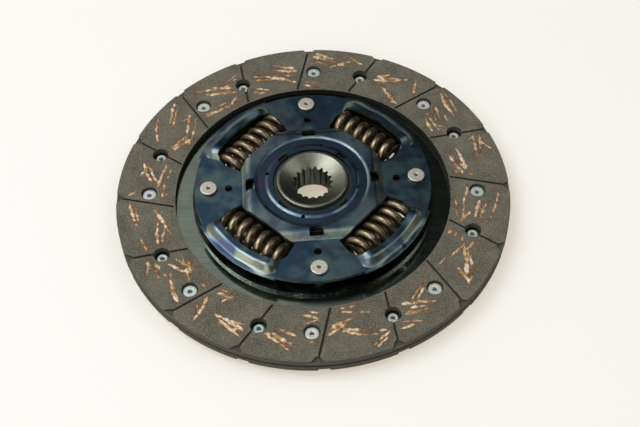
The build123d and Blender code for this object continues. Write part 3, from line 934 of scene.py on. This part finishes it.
@dataclass
class Facings:
    """The two friction facings and the yarn that shows in their faces."""

    rivets: RivetPattern = RivetPattern()
    outer_radius: float = 100 * MM
    inner_radius: float = 70 * MM
    face_height: float = 4.15 * MM
    groove_count: int = 16
    groove_offset: float = 22.4 * MM
    groove_angle: float = 90.0
    edge_margin: float = 1.6 * MM
    groove_margin: float = 1.5 * MM
    rivet_margin: float = 5.0 * MM
    strokes_per_sector: int = 5
    stroke_length: Range = (11 * MM, 27 * MM)
    stroke_weight: Range = (0.66, 1.24)
    stroke_bend: float = 0.35
    stroke_spread: Range = (0.1, 0.9)
    stroke_margin: float = 5 * MM
    flat_lay: Range = (6.0, 32.0)
    steep_lay: Range = (45.0, 72.0)
    steep_share: float = 0.06
    pair_share: float = 0.7
    pair_gap: Range = (1.9 * MM, 3.6 * MM)
    pair_slip: float = 4.5 * MM
    pair_turn: float = 9.0
    twist_pitch: float = 3.5 * MM
    twist_lean: float = 4.0
    missing_share: float = 0.04
    along_jitter: float = 0.3 * MM
    aside_jitter: float = 0.12 * MM
    turn_jitter: float = 3.0
    sliver_length: float = 6.6 * MM
    sliver_stretch: Range = (0.72, 1.12)
    sliver_half_width: float = 1.12 * MM
    sliver_spread: Range = (0.78, 1.16)
    middle_width: float = 1.1
    # share of the sliver's length, then offset and width in half widths
    sliver_form: tuple[tuple[float, float, float], ...] = (
        (-0.5, 0.3, 0.08),
        (-0.3, -0.1, 0.75),
        (0.0, 0.0, 1.0),
        (0.3, 0.1, 0.75),
        (0.5, -0.3, 0.08),
    )
    flatness: float = 0.1
    crease: float = 60.0
    seed: int = 41

    def groove_distance(self, x: float, y: float) -> float:
        """Distance from a point of the front face to the nearest groove's middle."""
        radius, pitch = hypot(x, y), 360 / self.groove_count
        lean = asin(self.groove_offset / radius) - asin(self.groove_offset / self.outer_radius)
        past = (degrees(atan2(y, x) - lean) - self.groove_angle) % pitch
        return radians(min(past, pitch - past)) * radius

    def clear_of_holes(self, x: float, y: float) -> bool:
        """Tell whether a point of the front face is clear of holes, grooves and edges."""
        low, high = self.inner_radius + self.edge_margin, self.outer_radius - self.edge_margin
        if not low < hypot(x, y) < high:
            return False
        for hole_x, hole_y in self.rivets.centres():
            if hypot(x - hole_x, y - hole_y) < self.rivet_margin:
                return False
        return self.groove_distance(x, y) > self.groove_margin

    def fits(self, x: float, y: float, turn: float, length: float) -> bool:
        """Tell whether a sliver is clear of holes, grooves and edges all along."""
        quarters = (length * step / 4 for step in range(-2, 3))
        return all(self.clear_of_holes(*moved(x, y, turn, along, 0.0)) for along in quarters)

    def stroke(self, draw: random.Random, x: float, y: float, heading: float) -> list[Sliver]:
        """Draw one twisted yarn where the grinding has cut into it, as a chain of slivers.

        Args:
            draw: the seeded generator.
            x: where the middle of the stroke lies.
            y: the same along Y.
            heading: direction of the stroke, in radians.

        Returns:
            The slivers that fit on the face.
        """
        length = draw.uniform(*self.stroke_length)
        weight = draw.uniform(*self.stroke_weight)
        bend = draw.uniform(-self.stroke_bend, self.stroke_bend)
        count = max(2, round(length / self.twist_pitch))
        slivers = []
        for number in range(count):
            share = (number + 0.5) / count - 0.5
            along = share * length + draw.uniform(-self.along_jitter, self.along_jitter)
            sag = bend * share * share * length
            aside = sag + draw.uniform(-self.aside_jitter, self.aside_jitter)
            if draw.random() < self.missing_share:
                continue
            lean = radians(self.twist_lean + draw.uniform(-self.turn_jitter, self.turn_jitter))
            turn = heading + 2 * bend * share + lean
            taper = weight * (self.middle_width - abs(share)) * draw.uniform(*self.sliver_spread)
            size = self.sliver_length * draw.uniform(*self.sliver_stretch)
            place_x, place_y = moved(x, y, heading, along, aside)
            if self.fits(place_x, place_y, turn, size):
                slivers.append((place_x, place_y, turn, size, self.sliver_half_width * taper))
        return slivers

    def strokes(self, draw: random.Random) -> list[Sliver]:
        """Scatter single and paired strokes over the face, crossing in two directions."""
        slivers = []
        count = self.groove_count * self.strokes_per_sector
        low, high = self.inner_radius + self.stroke_margin, self.outer_radius - self.stroke_margin
        for number in range(count):
            angle = radians((number + draw.uniform(*self.stroke_spread)) * 360 / count)
            radius = draw.uniform(low, high)
            steep = draw.random() < self.steep_share
            lay = radians(draw.uniform(*(self.steep_lay if steep else self.flat_lay)))
            heading = angle + pi / 2 + draw.choice((-1, 1)) * lay
            x, y = radius * cos(angle), radius * sin(angle)
            slivers += self.stroke(draw, x, y, heading)
            if draw.random() < self.pair_share:
                aside = draw.uniform(*self.pair_gap)
                slip = draw.uniform(-self.pair_slip, self.pair_slip)
                x, y = moved(x, y, heading, slip, aside)
                heading += radians(draw.uniform(-self.pair_turn, self.pair_turn))
                slivers += self.stroke(draw, x, y, heading)
        return slivers

    def model_yarn(self) -> Any:
        """Model the yarn of the front face as flat slivers, half sunk in the face.

        Returns:
            The yarn object.
        """
        curve = bpy.data.curves.new("yarn", "CURVE")
        curve.dimensions = "3D"
        curve.bevel_depth = 1.0
        curve.bevel_resolution = 1
        curve.resolution_u = 2
        curve.use_fill_caps = True
        for x, y, turn, size, half in self.strokes(random.Random(self.seed)):
            spline = curve.splines.new("NURBS")
            spline.points.add(len(self.sliver_form) - 1)
            for point, (share, aside, width) in zip(spline.points, self.sliver_form):
                point.co = (*moved(x, y, turn, share * size, aside * half), 0.0, 1.0)
                point.radius = width * half
            spline.order_u = 3
            spline.use_endpoint_u = True
        piece = bpy.data.objects.new("front_yarn", curve)
        bpy.context.scene.collection.objects.link(piece)
        select_only(piece)
        bpy.ops.object.convert(target="MESH")
        piece = bpy.context.object
        piece.data.transform(Matrix.Diagonal((1.0, 1.0, self.flatness, 1.0)))
        piece.data.transform(Matrix.Translation((0.0, 0.0, self.face_height)))
        return piece

    def build(self, nodes: Mapping[str, Any]) -> None:
        """Dress both facings and lay the yarn in their faces."""
        lining = FrictionLining()
        dress(nodes["facing_front"], lining.build("lining_front", self.face_height))
        dress(nodes["facing_rear"], lining.build("lining_rear", -self.face_height))
        material = CopperYarn().build("copper_yarn", self.face_height)
        front = self.model_yarn()
        smooth(front, self.crease)
        for piece in (front, self.rivets.turned_over(front, "rear_yarn")):
            settle(piece, Body.DISC, Slot.LINING, material)


@dataclass
class FacingRivets:
    """Tubular rivets: rolled heads on one side, turned tails on the other."""

    pattern: RivetPattern = RivetPattern()
    bore_radius: float = 1.2 * MM
    shank_radius: float = 2.0 * MM
    head_radius: float = 3.5 * MM
    head_seat: float = 1.65 * MM
    head_thickness: float = 0.82 * MM
    tail_radius: float = 2.6 * MM
    tail_seat: float = -0.05 * MM
    tail_thickness: float = 0.87 * MM
    rolled_round: float = 0.4 * MM
    head_mouth_round: float = 0.25 * MM
    tail_mouth_round: float = 0.3 * MM
    head_seat_round: float = 0.1 * MM
    tail_seat_round: float = 0.12 * MM
    steps: int = 40
    crease: float = 35.0

    def build(self, nodes: Mapping[str, Any]) -> None:
        """Model one rivet, set a row of them on each side and dress them."""
        top = self.head_seat + self.head_thickness
        bottom = self.tail_seat - self.tail_thickness
        profile = rounded(
            (
                (self.bore_radius, bottom, self.tail_mouth_round),
                (self.tail_radius, bottom, self.rolled_round),
                (self.tail_radius, self.tail_seat, self.tail_seat_round),
                (self.shank_radius, self.tail_seat, 0),
                (self.shank_radius, self.head_seat, 0),
                (self.head_radius, self.head_seat, self.head_seat_round),
                (self.head_radius, top, self.rolled_round),
                (self.bore_radius, top, self.head_mouth_round),
            )
        )
        model = lathe("rivet", profile, self.steps)
        front = copies_of(model, self.pattern.places(), "front_rivets")
        rear = self.pattern.turned_over(front, "rear_rivets")
        material = PlatedSteel().build("plated_steel")
        for piece, node in ((front, "front_facing_rivets"), (rear, "rear_facing_rivets")):
            smooth(piece, self.crease)
            settle(piece, Body.DISC, Slot.RIVET, material, node)


@dataclass
class DamperSprings:
    """The four coil springs, wound and ground as they stand in their windows."""

    axis_radius: float = 42.3 * MM
    first_angle: float = 47.3
    count: int = 4
    plane_height: float = 5.675 * MM
    outer_radius: float = 8.3 * MM
    wire_radius: float = 2.05 * MM
    window_length: float = 36.4 * MM
    coils: float = 6.2
    ground_length: float = 36.3 * MM
    wound_turns: int = 8
    keep: float = 0.83
    round_steps: int = 44
    wire_steps: int = 20
    crease: float = 50.0

    def model_spring(self) -> Any:
        """Wind one spring along local Z with its middle on the origin.

        Returns:
            The spring with ground ends.
        """
        select_only()
        pitch = self.window_length / self.coils
        bpy.ops.mesh.primitive_circle_add(
            vertices=self.wire_steps,
            radius=self.wire_radius,
            fill_type="NGON",
            location=(self.outer_radius - self.wire_radius, 0, -self.wound_turns * pitch / 2),
            rotation=(pi / 2, 0, 0),
        )
        piece = bpy.context.object
        bpy.ops.object.transform_apply(location=True, rotation=True, scale=True)
        winding = piece.modifiers.new("winding", "SCREW")
        winding.axis = "Z"
        winding.angle = 2 * pi
        winding.screw_offset = pitch
        winding.iterations = self.wound_turns
        winding.steps = self.round_steps
        winding.render_steps = self.round_steps
        winding.use_merge_vertices = True
        bpy.ops.object.modifier_apply(modifier=winding.name)
        bpy.ops.object.mode_set(mode="EDIT")
        bpy.ops.mesh.select_all(action="SELECT")
        bpy.ops.mesh.normals_make_consistent(inside=False)
        for side in (-1, 1):
            bpy.ops.mesh.select_all(action="SELECT")
            bpy.ops.mesh.bisect(
                plane_co=(0, 0, side * self.ground_length / 2),
                plane_no=(0, 0, side),
                use_fill=True,
                clear_outer=True,
            )
        bpy.ops.object.mode_set(mode="OBJECT")
        return piece

    def build(self, nodes: Mapping[str, Any]) -> None:
        """Set a spring in each window, on the springs' body; nothing here shortens it as the hub
        turns.
        """
        material = CoilSteel().build("coil_steel")
        model = self.model_spring()
        for number in range(self.count):
            angle = radians(self.first_angle + number * 360 / self.count)
            outwards = Vector((cos(angle), sin(angle), 0))
            along = Vector((-sin(angle), cos(angle), 0))
            middle = outwards * self.axis_radius + Vector((0, 0, self.plane_height))
            place = Matrix((outwards, along.cross(outwards), along)).transposed().to_4x4()
            place.translation = middle
            piece = own_copy(model, f"coil_spring_{number + 1}")
            piece.data.transform(place)
            smooth(piece, self.crease)
            settle(piece, Body.SPRINGS, Slot.COIL, material, f"damper_spring_{number + 1}")
            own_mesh(piece)
        bpy.data.objects.remove(model)


@dataclass
class SteelParts:
    """Plates, pins, hub and the washers of the friction pack, which stay as packed."""

    finishes: dict[str, tuple[Any, tuple[str, ...]]] = field(
        default_factory=lambda: {
            "tempered_steel": (TemperedSteel(), ("retaining_plate",)),
            "spring_steel": (SpringSteel(), ("cushion_plate", "disc_spring")),
            "shaded_disc_steel": (ShadedDiscSteel(), ("disc_plate",)),
            "pin_steel": (BrightPin(), tuple(f"stop_pin_{n}" for n in range(1, 5))),
            "forged_steel": (ForgedSteel(), ("hub", "thrust_washer")),
            "moulded_resin": (
                MouldedResin(),
                ("friction_washer_front", "friction_washer_rear", "hub_bush"),
            ),
        }
    )

    def build(self, nodes: Mapping[str, Any]) -> None:
        """Dress each node in its finish."""
        for name, (finish, members) in self.finishes.items():
            material = finish.build(name)
            for node in members:
                dress(nodes[node], material)
                log.info("%s is dressed in %s", node, name)


# ---- studio --------------------------------------------------------------------------


@dataclass(frozen=True)
class SoftBox:
    """One soft light that looks at the disc."""

    name: str
    place: tuple[float, float, float]
    size: float
    power: float

    def build(self) -> None:
        """Hang the light."""
        light = bpy.data.lights.new(self.name, "AREA")
        light.shape = "SQUARE"
        light.size = self.size
        light.energy = self.power
        lamp = bpy.data.objects.new(self.name, light)
        lamp.location = self.place
        lamp.rotation_euler = Vector(self.place).to_track_quat("Z", "Y").to_euler()
        bpy.context.scene.collection.objects.link(lamp)


@dataclass(frozen=True)
class Studio:
    """Pale floor, three soft boxes and a dim room that is lighter on its left."""

    floor_height: float = -8.0 * MM
    floor_side: float = 8.0
    floor_colour: Colour = (0.93, 0.92, 0.895)
    floor_seen: Colour = (0.446, 0.498, 0.579)
    floor_glow: Colour = (0.509, 0.441, 0.326)
    floor_roughness: float = 0.9
    room_colour: Colour = (1.0, 0.99, 0.97)
    room_light: float = 0.42
    room_dark: float = 0.008
    room_edge: Band = (-0.64, -0.7)
    room_slant: float = 0.8
    room_fill: float = 0.46
    lights: tuple[SoftBox, ...] = (
        SoftBox("left_box", (-0.6, 0.05, 1.15), size=0.8, power=8.0),
        SoftBox("right_box", (0.85, 0.1, 1.35), size=0.7, power=2.6),
        SoftBox("front_box", (-0.3, -0.8, 0.62), size=0.4, power=1.6),
    )

    def lay_floor(self) -> None:
        """Lay the floor as a large plane, which glows a little where the camera sees it."""
        select_only()
        bpy.ops.mesh.primitive_plane_add(size=self.floor_side, location=(0, 0, self.floor_height))
        floor = bpy.context.object
        floor.name = "studio_floor"
        g = MaterialGraph("pale_floor")
        seen = g.add("ShaderNodeLightPath", {}, output="Is Camera Ray")
        material = g.finish(
            base_color=g.mix(seen, self.floor_colour, self.floor_seen),
            emission_color=g.mix(seen, (0.0, 0.0, 0.0), self.floor_glow),
            emission_strength=1.0,
            roughness=self.floor_roughness,
        )
        dress(floor, material)

    def light_room(self) -> None:
        """Colour the world: white behind the object, the room in reflections, even fill."""
        world = bpy.data.worlds.new("room")
        bpy.context.scene.world = world
        world.use_nodes = True
        world.node_tree.nodes.clear()
        g = Graph(world.node_tree)
        place = g.add("ShaderNodeTexCoord", {}, output="Generated")
        across = g.add(
            "ShaderNodeVectorMath",
            {0: place, 1: (1.0, 0.0, -self.room_slant)},
            output="Value",
            operation="DOT_PRODUCT",
        )
        light = self.room_light - self.room_dark
        room = across.fade(*self.room_edge) * light + self.room_dark
        mirrored = g.add("ShaderNodeLightPath", {}, output="Is Glossy Ray")
        seen = g.add("ShaderNodeLightPath", {}, output="Is Camera Ray")
        lit = g.add("ShaderNodeMix", {0: mirrored, 2: self.room_fill, 3: room})
        strength = g.add("ShaderNodeMix", {0: seen, 2: lit, 3: 1.0})
        final = g.add("ShaderNodeBackground", {"Color": self.room_colour, "Strength": strength})
        g.feed(g.tree.nodes.new("ShaderNodeOutputWorld").inputs["Surface"], final)

    def build(self) -> None:
        """Set up floor, room and lights."""
        self.lay_floor()
        self.light_room()
        for light in self.lights:
            light.build()


@dataclass(frozen=True)
class Viewpoint:
    """The camera's place, given by what it looks at."""

    target: tuple[float, float, float] = (3.28 * MM, -11.1 * MM, 0.0)
    distance: float = 648.26 * MM
    elevation: float = 53.02
    roll: float = -1.87
    lens: float = 72.0
    clip_start: float = 10 * MM

    def build(self) -> None:
        """Create the camera and make it the scene's own."""
        data = bpy.data.cameras.new("camera")
        data.lens = self.lens
        data.clip_start = self.clip_start
        camera = bpy.data.objects.new("camera", data)
        rise = radians(self.elevation)
        back = Vector((0.0, -cos(rise), sin(rise)))
        camera.location = Vector(self.target) + back * self.distance
        tilt = Matrix.Rotation(pi / 2 - rise, 3, "X") @ Matrix.Rotation(radians(self.roll), 3, "Z")
        camera.rotation_euler = tilt.to_euler()
        bpy.context.scene.collection.objects.link(camera)
        bpy.context.scene.camera = camera


def main() -> None:
    """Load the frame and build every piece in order."""
    logging.basicConfig(level=logging.INFO, format="%(message)s")
    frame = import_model()
    nodes = frame["nodes"]
    bpy.context.scene.view_settings.view_transform = "Standard"
    Viewpoint().build()
    Studio().build()
    SteelParts().build(nodes)
    Facings().build(nodes)
    FacingRivets().build(nodes)
    DamperSprings().build(nodes)


if __name__ == "__main__":
    main()
